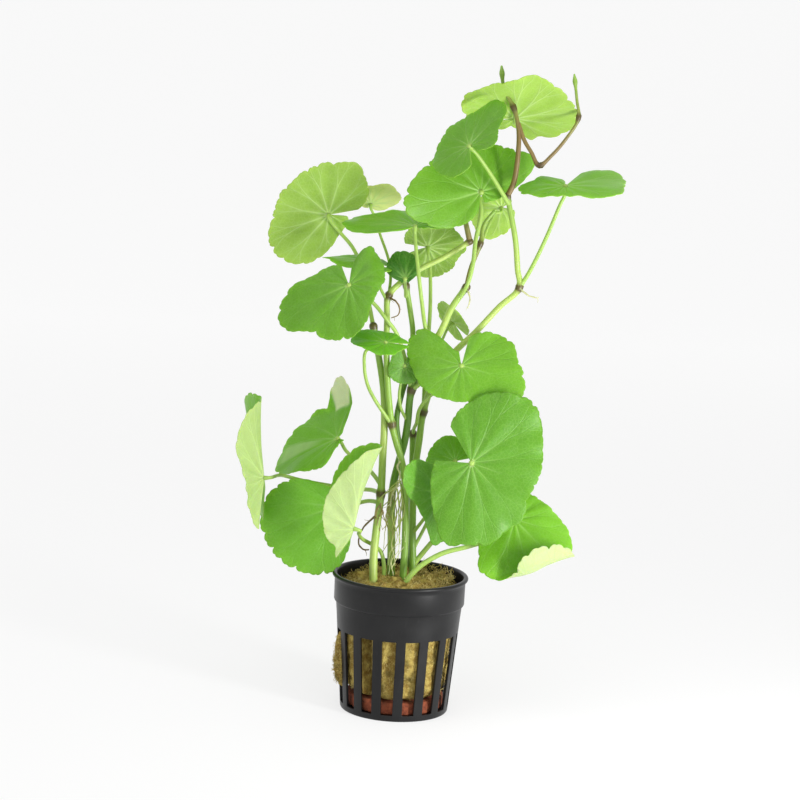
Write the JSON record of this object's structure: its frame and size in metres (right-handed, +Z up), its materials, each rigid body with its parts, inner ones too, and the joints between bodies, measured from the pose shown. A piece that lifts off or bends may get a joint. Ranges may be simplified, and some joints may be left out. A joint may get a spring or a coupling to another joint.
{
  "type": "potted aquarium pennywort",
  "caption": "Aquarium pennywort with round scalloped leaves on long branching stems, rooted in a rock wool plug with a clay ring inside a slotted black net pot.",
  "frame": {"origin": "centre of the pot's underside, on the surface that it stands on", "axes": "+Z up along the pot's axis, -Y towards the side shown in the picture, +X to the right as seen from there"},
  "size_m": [0.1394, 0.056, 0.2465],
  "materials": {
    "pot_plastic": "satin",
    "fired_clay": "matte",
    "mineral_wool": "matte",
    "leaf_front": "satin",
    "leaf_back": "satin",
    "stem": "satin",
    "shoot": "satin",
    "root": "matte"
  },
  "bodies": {
    "root": {"clay_ring": "fired_clay", "leaf_behind_front": "leaf_front", "leaf_curled_front": "leaf_back", "leaf_far_left": "leaf_back", "leaf_front": "leaf_front", "leaf_left": "leaf_front", "leaf_left_raised": "leaf_front", "leaf_left_rear": "leaf_back", "leaf_left_sliver": "leaf_front", "leaf_level": "leaf_front", "leaf_low_turned": "leaf_front", "leaf_lower_left": "leaf_front", "leaf_lower_right": "leaf_front", "leaf_middle_rear": "leaf_back", "leaf_middle_small": "leaf_front", "leaf_right": "leaf_front", "leaf_right_small": "leaf_back", "leaf_shaded": "leaf_front", "leaf_top_left": "leaf_front", "leaf_top_right": "leaf_back", "leaf_upper_left": "leaf_back", "leaf_upper_middle": "leaf_front", "leaf_upper_rear": "leaf_back", "leaf_upper_right": "leaf_front", "leaf_young": "leaf_front", "pot": "pot_plastic", "rockwool": "mineral_wool", "root_centre": "root", "root_hanging": "root", "root_loop": "root", "root_middle": "root", "root_right": "root", "shoot_left": "shoot", "shoot_middle": "shoot", "shoot_right": "shoot", "shoot_side": "shoot", "stem_centre": "stem", "stem_inner": "stem", "stem_left": "stem", "stem_middle": "stem", "stem_rear": "stem", "stem_right": "stem"}
  },
  "joints": []
}
